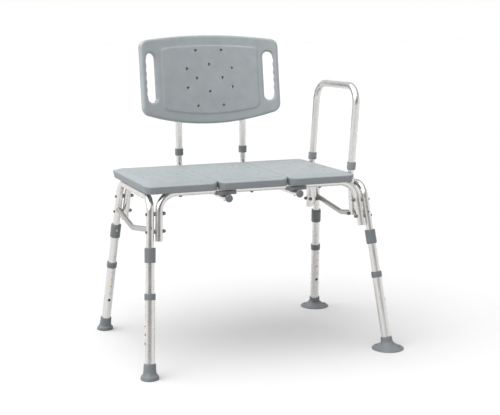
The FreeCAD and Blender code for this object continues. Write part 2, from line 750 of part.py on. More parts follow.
def arm_joints():
    """Each place where an arm stub is bolted: its end, its height, and half the width of the other tube."""
    joints = []
    for end in (-1, 1):
        y = arm_point(end, ARM_REF_Z).y
        joints.append((end, end_bar_height(y), D_FRAME / 2 + BRACE_SEAT))
        joints.append((end, brace_height(y), D_BRACE / 2 + BRACE_SEAT))
    return joints


def arm_bolt_line(end, z, reach):
    """Outboard and inboard ends of the shank of a bolt that holds an arm stub."""
    stub = arm_stub_point(end, z)
    outer = leg_point(1, 1, z).x + reach
    return V(outer, stub.y, z), V(stub.x - D_SMALL / 2 - STUB_SEAT, stub.y, z)


def arm_spacer(end, z, reach):
    """Short spacer between an arm stub and the tube that it is bolted to."""
    stub = arm_stub_point(end, z)
    outer = V(leg_point(1, 1, z).x - reach, stub.y, z)
    return sleeve(V(stub.x + D_SMALL / 2 + STUB_SEAT, stub.y, z), outer, SPACER_R, BOLT_R + FIT)


# ---------------------------------------------------------------- assembly

NAMES = {-1: {-1: "front_left", 1: "rear_left"}, 1: {-1: "front_right", 1: "rear_right"}}
SIDE = {-1: "left", 1: "right"}
END = {-1: "front", 1: "rear"}
CORNERS = [(side, end) for side in (-1, 1) for end in (-1, 1)]


def drilled(shape, lines, radius):
    """Shape with a clearance hole along each (start, end) line."""
    for first, last in lines:
        run = (last - first).normalize()
        shape = shape.cut(rod(first - run * 6, last + run * 6, radius))
    return shape


def add_frame(parts):
    rail_lines = {corner: [rail_bolt_line(*corner, z) for z in RAIL_BOLT_Z] for corner in CORNERS}
    arm_lines = [arm_bolt_line(*joint) for joint in arm_joints()]
    for side in (-1, 1):
        lines = rail_lines[(side, -1)] + rail_lines[(side, 1)] + (arm_lines if side > 0 else [])
        parts["end_frame_" + SIDE[side]] = drilled(end_frame(side), lines, BOLT_HOLE_R)
        parts["brace_" + SIDE[side]] = drilled(brace(side), arm_lines if side > 0 else [], BOLT_HOLE_R)
    screws = [(at - UP * 20, at + UP * 20) for at in seat_screw_points()] + saddle_screw_lines()
    for end in (-1, 1):
        lines = rail_lines[(-1, end)] + rail_lines[(1, end)]
        parts[END[end] + "_rail"] = drilled(drilled(rail(end), lines, BOLT_HOLE_R), screws, SCREW_HOLE_R)
        parts["arm_stub_" + END[end]] = drilled(arm_stub(end), arm_lines, BOLT_HOLE_R)
    every = [line for lines in rail_lines.values() for line in lines]
    parts["rail_bolts"] = Part.makeCompound([pan_head_bolt(*line) for line in every])
    parts["rail_nuts"] = Part.makeCompound([cap_nut(b, (b - a).normalize()) for a, b in every])
    parts["arm_bolts"] = Part.makeCompound([pan_head_bolt(*line) for line in arm_lines])
    parts["arm_nuts"] = Part.makeCompound([cap_nut(b, (b - a).normalize()) for a, b in arm_lines])
    spacers = [arm_spacer(*joint) for joint in arm_joints()]
    spacers += [rail_spacer(*corner, z) for corner in CORNERS for z in RAIL_BOLT_Z]
    parts["tube_spacers"] = Part.makeCompound(spacers)


def add_seat(parts):
    for index, name in enumerate(("left", "middle", "right")):
        parts["seat_panel_" + name] = seat_panel(index)
    screws = [seat_screw(at) for at in seat_screw_points()] + [saddle_screw(*corner) for corner in CORNERS]
    parts["under_seat_screws"] = Part.makeCompound(screws)


def add_legs(parts):
    for side, end in CORNERS:
        name = NAMES[side][end]
        parts["upper_leg_" + name] = upper_leg(side, end)
        parts["upper_collar_" + name] = upper_collar(side, end)
        parts["lower_leg_" + name] = lower_leg(side, end)
        parts["lower_collar_" + name] = lower_collar(side, end)
        parts["foot_" + name] = rubber_tip(side, end) if side < 0 else suction_foot(side, end)
        top = leg_point(side, end, TOP_BUTTON_Z)
        parts["top_button_" + name] = snap_button(top, top_facing(side, end), *TOP_BUTTON)
        mid = leg_point(side, end, height_hole_z(end))
        parts["height_button_" + name] = snap_button(mid, height_facing(side, end), *HEIGHT_BUTTON)


def add_backrest(parts):
    for side in (-1, 1):
        parts["backrest_tube_" + SIDE[side]] = drilled(backrest_tube(side), saddle_screw_lines(), SCREW_HOLE_R)
        post = back_post(side)
        for at in back_screw_points(side):
            post = post.cut(rod(at, at + lean_out() * 20, SCREW_HOLE_R))
        parts["back_post_" + SIDE[side]] = post
        at = V(side * POST_X, POST_Y, BACK_BUTTON_Z)
        parts["back_button_" + SIDE[side]] = snap_button(at, ALONG_Y, *SMALL_BUTTON)
    parts["backrest_plugs"] = Part.makeCompound([tube_plug(side) for side in (-1, 1)])
    low, high = POST_COLLAR_Z
    parts["back_collars"] = Part.makeCompound(
        [ring_collar(V(side * POST_X, POST_Y, low), V(side * POST_X, POST_Y, high),
                     V(side * POST_X, POST_Y, POST_LOW_Z - 0.2),
                     D_FRAME / 2 + FIT, D_SMALL / 2 + SLIDE, SMALL_COLLAR_R) for side in (-1, 1)])
    parts["back_panel"] = back_panel()
    screws = [back_screw(at) for side in (-1, 1) for at in back_screw_points(side)]
    parts["back_screws"] = Part.makeCompound(screws)
    parts["backrest_saddles"] = Part.makeCompound([saddle(side, end) for side, end in CORNERS])


def add_arm(parts):
    parts["arm_rail"] = arm_rail()
    low, high = ARM_COLLAR_Z
    parts["arm_collars"] = Part.makeCompound(
        [ring_collar(arm_point(end, low), arm_point(end, high), arm_point(end, ARM_LOW_Z - 0.2),
                     D_FRAME / 2 + FIT, D_SMALL / 2 + SLIDE, SMALL_COLLAR_R) for end in (-1, 1)])
    for end in (-1, 1):
        at = arm_point(end, ARM_BUTTON_Z)
        parts["arm_button_" + END[end]] = snap_button(at, ALONG_Y, *SMALL_BUTTON)


def bounds(parts):
    """Lowest and highest corners of the whole bench."""
    boxes = [shape.optimalBoundingBox(False, False) for shape in parts.values()]
    low = V(min(b.XMin for b in boxes), min(b.YMin for b in boxes), min(b.ZMin for b in boxes))
    high = V(max(b.XMax for b in boxes), max(b.YMax for b in boxes), max(b.ZMax for b in boxes))
    return low, high


def build():
    parts = {}
    add_frame(parts)
    add_seat(parts)
    add_legs(parts)
    add_backrest(parts)
    add_arm(parts)
    return parts


PARTS = build()
LOW, HIGH = bounds(PARTS)
SHIFT = V(-(LOW.x + HIGH.x) / 2, -(LOW.y + HIGH.y) / 2, 0)
os.makedirs("parts", exist_ok=True)
for node, shape in PARTS.items():
    shape.translate(SHIFT)
    shape.exportStep("parts/" + node + ".step")
print("pieces", len(PARTS), "size", HIGH - LOW, "shift", SHIFT)
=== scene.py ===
import json
import math

import bmesh
import bpy
import numpy as np
from mathutils import Matrix, Vector

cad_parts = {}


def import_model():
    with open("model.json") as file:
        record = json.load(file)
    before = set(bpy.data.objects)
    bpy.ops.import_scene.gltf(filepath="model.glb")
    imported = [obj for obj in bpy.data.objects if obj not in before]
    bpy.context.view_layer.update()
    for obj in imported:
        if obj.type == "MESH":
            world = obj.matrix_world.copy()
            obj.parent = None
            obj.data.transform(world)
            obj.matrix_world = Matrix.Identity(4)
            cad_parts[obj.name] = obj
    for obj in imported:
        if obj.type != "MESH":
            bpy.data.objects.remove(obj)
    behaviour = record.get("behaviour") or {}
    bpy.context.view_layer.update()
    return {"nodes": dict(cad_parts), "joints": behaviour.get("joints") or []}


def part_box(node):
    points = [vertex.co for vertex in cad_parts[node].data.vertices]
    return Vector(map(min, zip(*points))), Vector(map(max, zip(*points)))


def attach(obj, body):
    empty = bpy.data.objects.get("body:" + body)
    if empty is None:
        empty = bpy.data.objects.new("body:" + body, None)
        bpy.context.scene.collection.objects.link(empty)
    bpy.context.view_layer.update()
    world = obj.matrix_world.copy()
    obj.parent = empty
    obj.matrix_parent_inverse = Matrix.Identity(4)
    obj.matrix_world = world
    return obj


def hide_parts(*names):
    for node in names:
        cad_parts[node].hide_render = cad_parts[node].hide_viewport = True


# Bath transfer bench. The moulded panels, the legs' collars and the feet are modelled here. Every other piece
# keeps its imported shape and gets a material.
# Metres. +X runs towards the arm rail, +Y towards the backrest.

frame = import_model()
NODES = frame["nodes"]
JOINTS = {joint["name"]: joint for joint in frame["joints"]}
MM = 0.001
LEGS = ("front_left", "rear_left", "front_right", "rear_right")
X, Y, Z = Vector((1, 0, 0)), Vector((0, 1, 0)), Vector((0, 0, 1))


def box_middle(node):
    low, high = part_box(node)
    return (low + high) / 2


# The legs stand evenly about this point, which the camera is placed from.
LEG_CENTRE = (box_middle("end_frame_left") + box_middle("end_frame_right")) / 2
LEG_CENTRE.z = 0

# ---------------------------------------------------------------- materials


def new_material(name):
    material = bpy.data.materials.new(name)
    material.use_nodes = True
    nodes = material.node_tree.nodes
    nodes.clear()
    output = nodes.new("ShaderNodeOutputMaterial")
    shader = nodes.new("ShaderNodeBsdfPrincipled")
    material.node_tree.links.new(shader.outputs["BSDF"], output.inputs["Surface"])
    return material, shader


def noise_node(material, scale, stretch, detail, roughness=0.5):
    """Noise in the object's own metres. stretch divides the frequency along each axis."""
    nodes, links = material.node_tree.nodes, material.node_tree.links
    place = nodes.new("ShaderNodeTexCoord")
    mapping = nodes.new("ShaderNodeMapping")
    mapping.inputs["Scale"].default_value = [scale / s for s in stretch]
    texture = nodes.new("ShaderNodeTexNoise")
    texture.inputs["Scale"].default_value = 1.0
    texture.inputs["Detail"].default_value = detail
    texture.inputs["Roughness"].default_value = roughness
    links.new(place.outputs["Object"], mapping.inputs["Vector"])
    links.new(mapping.outputs["Vector"], texture.inputs["Vector"])
    return texture.outputs["Fac"]


def ranged(material, value, low, high, source=(0.3, 0.7)):
    """value mapped from the source range to low..high."""
    node = material.node_tree.nodes.new("ShaderNodeMapRange")
    node.inputs["From Min"].default_value = source[0]
    node.inputs["From Max"].default_value = source[1]
    node.inputs["To Min"].default_value = low
    node.inputs["To Max"].default_value = high
    material.node_tree.links.new(value, node.inputs["Value"])
    return node.outputs["Result"]


def mixed(material, factor, first, second):
    """Colour that goes from first to second as factor goes from 0 to 1."""
    node = material.node_tree.nodes.new("ShaderNodeMix")
    node.data_type = "RGBA"
    links = material.node_tree.links
    links.new(factor, node.inputs["Factor"])
    for socket, colour in ((node.inputs[6], first), (node.inputs[7], second)):
        if isinstance(colour, bpy.types.NodeSocket):
            links.new(colour, socket)
        else:
            socket.default_value = (*colour, 1)
    return node.outputs[2]


def bumped(material, shader, layers):
    """Chains bump nodes: each layer is (height, strength, distance in metres)."""
    nodes, links = material.node_tree.nodes, material.node_tree.links
    last = None
    for height, strength, distance in layers:
        bump = nodes.new("ShaderNodeBump")
        bump.inputs["Strength"].default_value = strength
        bump.inputs["Distance"].default_value = distance
        links.new(height, bump.inputs["Height"])
        if last:
            links.new(last, bump.inputs["Normal"])
        last = bump.outputs["Normal"]
    links.new(last, shader.inputs["Normal"])


def worn_edges(material, amount):
    """Factor that rises on convex edges, broken up by noise."""
    nodes, links = material.node_tree.nodes, material.node_tree.links
    geometry = nodes.new("ShaderNodeNewGeometry")
    edge = ranged(material, geometry.outputs["Pointiness"], 0, 1, (0.52, 0.60))
    patches = ranged(material, noise_node(material, 90, (1, 1, 1), 4), 0, amount)
    product = nodes.new("ShaderNodeMath")
    product.operation = "MULTIPLY"
    links.new(edge, product.inputs[0])
    links.new(patches, product.inputs[1])
    return product.outputs[0]


def faces_up(material):
    """Factor that goes from 0 on upright faces to 1 on level ones. It masks the painted shade on upright
    faces.
    """
    nodes, links = material.node_tree.nodes, material.node_tree.links
    geometry = nodes.new("ShaderNodeNewGeometry")
    parts = nodes.new("ShaderNodeSeparateXYZ")
    links.new(geometry.outputs["Normal"], parts.inputs[0])
    return ranged(material, parts.outputs["Z"], 0, 1, (0.25, 0.95))


def plastic(name, colour, roughness, grain, grain_depth, mottle=0.06, wear=0.25, side_shade=1.0):
    """Moulded plastic: mottling, a fine grain, scuffed edges and uneven gloss.

    The last argument scales the colour on upright faces. Below 1 it darkens them as painted shade, so the
    sides look less lit than the top.
    """
    material, shader = new_material(name)
    links = material.node_tree.links
    dark = [c * (1 - mottle) for c in colour]
    light = [min(1.0, c * (1 + mottle)) for c in colour]
    pale = [min(1.0, c * 1.35 + 0.02) for c in colour]
    clouds = ranged(material, noise_node(material, 28, (1, 1, 1), 5, 0.6), 0, 1)
    fine = noise_node(material, grain, (1, 1, 1), 3, 0.65)
    tint = mixed(material, clouds, dark, light)
    speck = mixed(material, ranged(material, fine, 0, 0.5, (0.45, 0.75)), tint, [c * 0.82 for c in colour])
    # Painted shade: a darker copy of the colour on upright faces, in place of the weaker light that falls on
    # them than on the top.
    if side_shade < 1.0:
        speck = mixed(material, faces_up(material), [c * side_shade for c in colour], speck)
    links.new(mixed(material, worn_edges(material, wear), speck, pale), shader.inputs["Base Color"])
    gloss = ranged(material, noise_node(material, 60, (1, 1, 1), 4), roughness - 0.06, roughness + 0.08)
    links.new(gloss, shader.inputs["Roughness"])
    waves = noise_node(material, 35, (1, 1, 1), 2)
    bumped(material, shader, ((waves, 0.10, 0.002), (fine, 0.35, grain_depth)))
    return material


def rubber(name, colour):
    """Matt rubber with dust in patches and a slightly pitted skin."""
    material, shader = new_material(name)
    links = material.node_tree.links
    dust = ranged(material, noise_node(material, 55, (1, 1, 1), 6, 0.65), 0, 0.55, (0.45, 0.75))
    body = mixed(material, dust, colour, [c * 1.25 + 0.02 for c in colour])
    links.new(mixed(material, worn_edges(material, 0.4), body, [c * 1.6 for c in colour]),
              shader.inputs["Base Color"])
    gloss = ranged(material, noise_node(material, 120, (1, 1, 1), 3), 0.50, 0.72)
    links.new(gloss, shader.inputs["Roughness"])
    pits = noise_node(material, 1400, (1, 1, 1), 2)
    bumped(material, shader, ((pits, 0.25, 0.0003),))
    return material


def metal(name, colour, roughness, stretch, spread=0.08, lines=0.12):
    """Drawn metal: fine lines along the length, smudges in the gloss and small tint changes."""
    material, shader = new_material(name)
    links = material.node_tree.links
    shader.inputs["Metallic"].default_value = 1.0
    smudge = noise_node(material, 22, (1, 1, 1), 5, 0.6)
    drawn = noise_node(material, 1100, stretch, 2)
    tint = mixed(material, ranged(material, smudge, 0, 1), [c * 0.93 for c in colour], colour)
    links.new(mixed(material, ranged(material, drawn, 0, 0.35), tint, [c * 0.90 for c in colour]),
              shader.inputs["Base Color"])
    links.new(ranged(material, smudge, roughness - spread, roughness + spread), shader.inputs["Roughness"])
    bumped(material, shader, ((drawn, lines, 0.0001),))
    return material


ALONG = {"x": (60, 1, 1), "y": (1, 60, 1), "z": (1, 1, 60)}
TUBE = {axis: metal("tube_along_" + axis, (0.74, 0.73, 0.71), 0.28, stretch, 0.03, 0.03)
        for axis, stretch in ALONG.items()}
BRACE = metal("brace_metal", (0.46, 0.46, 0.44), 0.34, ALONG["y"], 0.04, 0.08)
FASTENER = metal("plated_steel", (0.22, 0.19, 0.16), 0.38, (1, 1, 1), 0.1, 0.05)
BRASS = metal("snap_brass", (0.62, 0.50, 0.28), 0.36, (1, 1, 1), 0.1, 0.05)
# Painted shade: the seat plastic's upright faces are darkened to 0.72 of its colour.
SEAT_PLASTIC_SHADED_SIDES = plastic("seat_plastic", (0.258, 0.283, 0.293), 0.50, 900, 0.0004, side_shade=0.72)
# Painted light: the back panel is the same plastic as the seat, but its copy here is given a lighter colour
# so the back panel looks more brightly lit.
BACK_PLASTIC_PAINTED_LIGHTER = plastic("back_plastic", (0.308, 0.336, 0.347), 0.50, 900, 0.0004)
COLLAR_PLASTIC = plastic("collar_plastic", (0.130, 0.145, 0.152), 0.42, 1500, 0.0002, 0.05, 0.2)
ARM_PLASTIC = plastic("arm_collar_plastic", (0.190, 0.208, 0.215), 0.42, 1500, 0.0002, 0.05, 0.2)
GREY_PLASTIC = plastic("saddle_plastic", (0.150, 0.165, 0.172), 0.48, 1200, 0.0003, 0.05, 0.2)
FOOT_RUBBER = rubber("foot_rubber", (0.130, 0.145, 0.152))

# ---------------------------------------------------------------- mesh helpers


def finish_piece(name, mesh, body, material, slot, *nodes):
    """Links the mesh as a piece that rides on body and stands for these CAD nodes."""
    mesh.materials.clear()
    mesh.materials.append(material)
    piece = bpy.data.objects.new(name, mesh)
    bpy.context.scene.collection.objects.link(piece)
    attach(piece, body)
    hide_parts(*nodes)
    return piece


def shade(mesh, degrees=32):
    mesh.polygons.foreach_set("use_smooth", [True] * len(mesh.polygons))
    mesh.set_sharp_from_angle(angle=math.radians(degrees))
    return mesh


def mesh_from(bm, name, degrees=32):
    bmesh.ops.recalc_face_normals(bm, faces=bm.faces)
    mesh = bpy.data.meshes.new(name)
    bm.to_mesh(mesh)
    bm.free()
    return shade(mesh, degrees)


def frame_about(axis):
    """Two unit vectors square to axis and to each other."""
    side = X - axis * X.dot(axis)
    side.normalize()
    return side, axis.cross(side)


def ring(centre, axis, radius, count):
    """Points of a circle about axis."""
    first, second = frame_about(axis)
    points = []
    for i in range(count):
        angle = 2 * math.pi * i / count
        points.append(centre + (first * math.cos(angle) + second * math.sin(angle)) * radius)
    return points


def skin(bm, rings, closed):
    """Quads between rings of equal counts. closed joins the last ring to the first, else ends are capped."""
    rows = [[bm.verts.new(p) for p in points] for points in rings]
    pairs = list(zip(rows, rows[1:]))
    if closed:
        pairs.append((rows[-1], rows[0]))
    for low, high in pairs:
        for i in range(len(low)):
            j = (i + 1) % len(low)
            bm.faces.new((low[i], low[j], high[j], high[i]))
    if not closed:
        bm.faces.new(rows[0])
        bm.faces.new(rows[-1])


def turn(bm, profile, base, axis, count, closed):
    """Revolves (radius, height) points, in mm, about axis from base."""
    skin(bm, [ring(base + axis * (h * MM), axis, r * MM, count) for r, h in profile], closed)


def rounded_profile(corners, radius, steps=4):
    """Closed profile with each (radius, height, rounding) corner replaced by an arc."""
    out = []
    count = len(corners)
    for i, (r, h, scale) in enumerate(corners):
        here = Vector((r, h))
        before = Vector(corners[i - 1][:2]) - here
        after = Vector(corners[(i + 1) % count][:2]) - here
        reach = min(radius * scale, before.length * 0.45, after.length * 0.45)
        if reach <= 0:
            out.append((r, h))
            continue
        start = here + before.normalized() * reach
        end = here + after.normalized() * reach
        for k in range(steps + 1):
            t = k / steps
            point = start * (1 - t) ** 2 + here * (2 * t * (1 - t)) + end * t ** 2
            out.append((point.x, point.y))
    return out


def modified(mesh, name, kind, **settings):
    """A new mesh: the given one with one modifier applied."""
    holder = bpy.data.objects.new(name + "_work", mesh)
    bpy.context.scene.collection.objects.link(holder)
    modifier = holder.modifiers.new(kind, kind)
    for key, value in settings.items():
        setattr(modifier, key, value)
    bpy.context.view_layer.update()
    graph = bpy.context.evaluated_depsgraph_get()
    result = bpy.data.meshes.new_from_object(holder.evaluated_get(graph), depsgraph=graph)
    bpy.data.objects.remove(holder)
    result.name = name
    return result


CUT_SLIVER = 0.004


def cut(mesh, cutter, name):
    """mesh minus the cutter mesh, both in mm, without the slivers that the cut leaves."""
    tool = bpy.data.objects.new(name + "_tool", cutter)
    bpy.context.scene.collection.objects.link(tool)
    result = modified(mesh, name, "BOOLEAN", operation="DIFFERENCE", solver="EXACT", object=tool)
    bpy.data.objects.remove(tool)
    bm = bmesh.new()
    bm.from_mesh(result)
    bmesh.ops.dissolve_degenerate(bm, dist=CUT_SLIVER, edges=bm.edges)
    bmesh.ops.triangulate(bm, faces=[face for face in bm.faces if len(face.verts) > 4])
    bmesh.ops.dissolve_degenerate(bm, dist=CUT_SLIVER, edges=bm.edges)
    bm.to_mesh(result)
    bm.free()
    return result


def coordinates(mesh):
    flat = np.zeros(len(mesh.vertices) * 3)
    mesh.vertices.foreach_get("co", flat)
    return flat.reshape(-1, 3)


def set_coordinates(mesh, co):
    mesh.vertices.foreach_set("co", co.ravel())
    mesh.update()


def smoothstep(x):
    x = np.clip(x, 0, 1)
    return x * x * (3 - 2 * x)


def smooth_min(a, b, radius):
    """Smaller of a and b, rounded where they are within radius of each other."""
    mix = np.clip(0.5 + 0.5 * (b - a) / radius, 0, 1)
    return b * (1 - mix) + a * mix - radius * mix * (1 - mix)


# ---------------------------------------------------------------- seat panels

SEAT_RIM = 4.0
SEAT_FOOT_RIM = 3.0
SEAT_DRAFT = 4.0
SEAT_BORDER = 60.0
SEAT_RECESS = 1.1
SEAM_UPRIGHT = 0.9
END_BORDER = (25, 5.0)
SEAM_BORDER = (10, 2.2)
FRONT_BORDER = (25, 7.0)
SEAT_CORNER_STEPS = 8
SEAT_STEPS_X, SEAT_STEPS_Y = 16, 28
SEAT_CORNER = 24.0
SEAT_DRAINS = ((45, 110), (0, 60), (75, 45), (45, 0), (75, -45), (0, -60), (45, -110))
# Radius and height, both in mm, up each cut from 2 mm below the panel.
DRAIN_CUT = ((3.0, 0.0), (3.0, 1.9), (2.5, 3.2), (2.4, 26.0), (2.6, 28.6), (3.4, 30.2), (4.4, 31.0),
             (4.6, 37.0))
CUT_START = 2.0
DIMPLE_PITCH_X, DIMPLE_PITCH_Y = 50, 44
DIMPLE_REACH_Y = 130
DIMPLE_CLEARANCE = 16
DIMPLE_CUT = ((9.5, 0.0), (8.6, 2.4), (7.0, 5.5), (5.0, 7.0), (3.0, 7.4))


def inset_outline(low, high, inset):
    """Outline of a panel, in mm, moved inwards by inset."""
    x0, y0, x1, y1 = low[0] + inset, low[1] + inset, high[0] - inset, high[1] - inset
    r = max(SEAT_CORNER - inset, 0.0)
    corners = ((x1, y0, -90), (x1, y1, 0), (x0, y1, 90), (x0, y0, 180))
    signs = ((-1, 1), (-1, -1), (1, -1), (1, 1))
    arcs = []
    for (x, y, start), (sx, sy) in zip(corners, signs):
        arc = []
        for k in range(SEAT_CORNER_STEPS + 1):
            angle = math.radians(start + 90 * k / SEAT_CORNER_STEPS)
            arc.append((x + sx * r + r * math.cos(angle), y + sy * r + r * math.sin(angle)))
        arcs.append(arc)
    points = []
    for i, arc in enumerate(arcs):
        points += arc
        start, end = arc[-1], arcs[(i + 1) % 4][0]
        steps = SEAT_STEPS_Y if i % 2 == 0 else SEAT_STEPS_X
        points += [(start[0] + (end[0] - start[0]) * k / steps, start[1] + (end[1] - start[1]) * k / steps)
                   for k in range(1, steps)]
    return points


def seat_panel(name, borders):
    """Moulded panel: rounded rim, sloping borders, drain holes and a dimpled underside."""
    low, high = (corner * 1000 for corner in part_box(name))
    top, bottom = high.z, low.z
    levels = []
    for k in range(5):
        angle = math.pi / 2 * k / 4
        inset = SEAT_DRAFT + SEAT_FOOT_RIM * (1 - math.sin(angle))
        levels.append((inset, bottom + SEAT_FOOT_RIM * (1 - math.cos(angle))))
    for k in range(9):
        angle = math.pi / 2 * k / 8
        levels.append((SEAT_RIM * (1 - math.cos(angle)), top - SEAT_RIM * (1 - math.sin(angle))))
    inner = [6.0, 9.0, 13.0, 17.0, 21.0, 23.0, 24.5, 25.5, 26.5, 27.5, 29.0, 33.0, 44.0, SEAT_BORDER]
    levels += [(inset, top) for inset in inner]
    underside = [(inset, bottom) for inset in reversed(inner) if inset > SEAT_DRAFT + SEAT_FOOT_RIM]
    bm = bmesh.new()
    rings = [[Vector((x, y, z)) for x, y in inset_outline(low, high, inset)]
             for inset, z in underside + levels]
    rows = [[bm.verts.new(p) for p in points] for points in rings]
    for first, second in zip(rows, rows[1:]):
        for i in range(len(first)):
            j = (i + 1) % len(first)
            bm.faces.new((first[i], first[j], second[j], second[i]))
    for z in (bottom, top):
        xs = np.linspace(low.x + SEAT_BORDER, high.x - SEAT_BORDER, SEAT_STEPS_X + 1)
        ys = np.linspace(low.y + SEAT_BORDER, high.y - SEAT_BORDER, SEAT_STEPS_Y + 1)
        grid = [[bm.verts.new((x, y, z)) for y in ys] for x in xs]
        for i in range(SEAT_STEPS_X):
            for j in range(SEAT_STEPS_Y):
                bm.faces.new((grid[i][j], grid[i + 1][j], grid[i + 1][j + 1], grid[i][j + 1]))
    bmesh.ops.remove_doubles(bm, verts=bm.verts, dist=0.001)
    mesh = mesh_from(bm, name + "_shell")
    co = coordinates(mesh)
    upper = np.clip((co[:, 2] - bottom - 6) / (top - bottom - 6), 0, 1)
    left, right, front, rear = borders
    fall = np.clip((top - SEAT_RIM - co[:, 2]) / (top - bottom - SEAT_RIM - SEAT_FOOT_RIM), 0, 1)
    # The walls at a seam stand nearly upright, and the outer walls keep the full draft.
    for gap, border, way in ((co[:, 0] - low.x, left, -1), (high.x - co[:, 0], right, 1)):
        if border is SEAM_BORDER:
            co[:, 0] += way * SEAM_UPRIGHT * SEAT_DRAFT * fall * np.clip(1 - gap / SEAT_BORDER, 0, 1)
    slope, recess = 0, 1
    for gap, (width, depth) in ((co[:, 0] - low.x, left), (high.x - co[:, 0], right),
                                (co[:, 1] - low.y, front), (high.y - co[:, 1], rear)):
        slope = slope + np.square(depth * np.clip(1 - gap / width, 0, 1))
        recess = recess * smoothstep((gap - width - 0.5) / 2)
    co[:, 2] -= upper * (np.sqrt(slope) + SEAT_RECESS * recess)
    set_coordinates(mesh, co)
    middle = (low + high) / 2
    drains = [(sign * dx, dy) for dx, dy in SEAT_DRAINS for sign in ((1,) if dx == 0 else (-1, 1))]
    dimples = [((i - 1.5) * DIMPLE_PITCH_X, (j - 3) * DIMPLE_PITCH_Y + DIMPLE_PITCH_Y / 2 * (i % 2))
               for i in range(4) for j in range(7)]
    dimples = [(x, y) for x, y in dimples if abs(y) < DIMPLE_REACH_Y
               and all(math.hypot(x - a, y - b) > DIMPLE_CLEARANCE for a, b in drains)]
    for spots, profile in ((drains, DRAIN_CUT), (dimples, DIMPLE_CUT)):
        cutter = bmesh.new()
        for dx, dy in spots:
            at = Vector((middle.x + dx, middle.y + dy, bottom - CUT_START)) * MM
            turn(cutter, profile, at, Z, 22, False)
        bmesh.ops.scale(cutter, vec=(1000, 1000, 1000), verts=cutter.verts)
        mesh = cut(mesh, mesh_from(cutter, name + "_cutter"), name)
    set_coordinates(mesh, coordinates(mesh) * MM)
    return shade(mesh, 40)


for seat_name, left_end, right_end in (("seat_panel_left", True, False), ("seat_panel_middle", False, False),
                                       ("seat_panel_right", False, True)):
    seat_borders = (END_BORDER if left_end else SEAM_BORDER, END_BORDER if right_end else SEAM_BORDER,
                    FRONT_BORDER, FRONT_BORDER)
    finish_piece(seat_name + "_moulding", seat_panel(seat_name, seat_borders), "frame", SEAT_PLASTIC_SHADED_SIDES,
                 "seat_plastic", seat_name)

# ---------------------------------------------------------------- back panel

BACK_HALF_W = 239.0
BACK_H = 290.5
BACK_LOW_RISE = 36.0
BACK_TOP_DROP = 21.0
BACK_CORNER = 22.0
BACK_T = 24.0
BACK_RIM = 6.5
BACK_PLAN_R = 880.0
BACK_LEAN = math.radians(7.6)
BACK_VOXEL = 2.0
SLOT_X, SLOT_W, SLOT_LOW, SLOT_HIGH = 204.0, 34.0, 71.0, 232.0
SLOT_SCALLOPS = 5
PAD_HALF_W, PAD_LOW, PAD_HIGH, PAD_RAISE = 168.0, 32.0, 35.0, 2.4
PAD_CORNER = 16
BACK_HOLES = ((45, 90.6), (0, 44.4), (79, 31), (45, 0), (79, -31), (0, -44.4), (45, -90.6))
BACK_HOLES_MID = 149.3
BOSS_X, BOSS_Y, BOSS_R, BOSS_LOW, BOSS_HIGH = 111.7, 3.0, 14.8, 34.0, 184.0


def bow(x, rise):
    """Height of a circular arc that is 0 at x = 0 and rise at the half width of the panel."""
    radius = (BACK_HALF_W ** 2 + rise ** 2) / (2 * rise)
    return radius - np.sqrt(radius ** 2 - np.square(x))


def back_low(x):
    """Lower edge of the back panel."""
    return bow(x, BACK_LOW_RISE)


def back_high(x):
    """Upper edge of the back panel."""
    return BACK_H - bow(x, BACK_TOP_DROP)


def softened(points, corners, reach):
    """Closed outline with a conic in place of the points within reach of each corner."""
    out = []
    for i, point in enumerate(points):
        if i in corners:
            here = Vector(point)
            before = (Vector(points[i - 1]) - here).normalized()
            after = (Vector(points[(i + 1) % len(points)]) - here).normalized()
            start, end = here + before * reach, here + after * reach
            for k in range(9):
                t = k / 8
                weight = math.sqrt(0.5)
                parts = ((1 - t) ** 2, 2 * t * (1 - t) * weight, t ** 2)
                total = sum(parts)
                out.append(tuple((start * parts[0] + here * parts[1] + end * parts[2]) / total))
        elif all((Vector(point) - Vector(points[c])).length > reach * 1.05 for c in corners):
            out.append(tuple(point))
    return out


def back_outline():
    """Outside of the back panel, bowed above and below, with rounded corners."""
    steps = 48
    xs = [BACK_HALF_W * (2 * k / steps - 1) for k in range(steps + 1)]
    lower = [(x, float(back_low(x))) for x in xs]
    upper = [(x, float(back_high(x))) for x in reversed(xs)]
    return softened(lower + upper, (0, steps, steps + 1, 2 * steps + 1), BACK_CORNER)


def slot_outline(side):
    """Hand hole, wound the other way round: a long slot with finger scallops on its outboard edge."""
    r = SLOT_W / 2
    low, high = SLOT_LOW + r, SLOT_HIGH - r
    points = []
    for k in range(13):
        angle = math.pi * k / 12
        points.append((r * math.cos(angle), high + r * math.sin(angle)))
    for k in range(1, 24):
        points.append((-r, high + (low - high) * k / 24))
    for k in range(13):
        angle = math.pi * (1 + k / 12)
        points.append((r * math.cos(angle), low + r * math.sin(angle)))
    for k in range(1, 60):
        t = k / 60
        wave = 2.2 * (1 - math.cos(2 * math.pi * SLOT_SCALLOPS * t)) / 2
        points.append((r + wave, low + (high - low) * t))
    placed = [(side * (SLOT_X + x), z) for x, z in points]
    return list(reversed(placed)) if side > 0 else placed


def plate(name, outlines, thickness, rim):
    """Flat plate in the XZ plane with rounded rims. The first outline is outside, the others are holes."""
    curve = bpy.data.curves.new(name, "CURVE")
    curve.dimensions = "2D"
    curve.fill_mode = "BOTH"
    curve.extrude = thickness / 2 - rim
    curve.bevel_depth = rim
    curve.bevel_resolution = 4
    curve.offset = -rim
    for outline in outlines:
        spline = curve.splines.new("POLY")
        spline.points.add(len(outline) - 1)
        for point, (x, z) in zip(spline.points, outline):
            point.co = (x, z, 0, 1)
        spline.use_cyclic_u = True
    holder = bpy.data.objects.new(name, curve)
    bpy.context.scene.collection.objects.link(holder)
    bpy.context.view_layer.update()
    graph = bpy.context.evaluated_depsgraph_get()
    mesh = bpy.data.meshes.new_from_object(holder.evaluated_get(graph), depsgraph=graph)
    bpy.data.objects.remove(holder)
    mesh.transform(Matrix.Rotation(math.radians(90), 4, "X"))
    return mesh


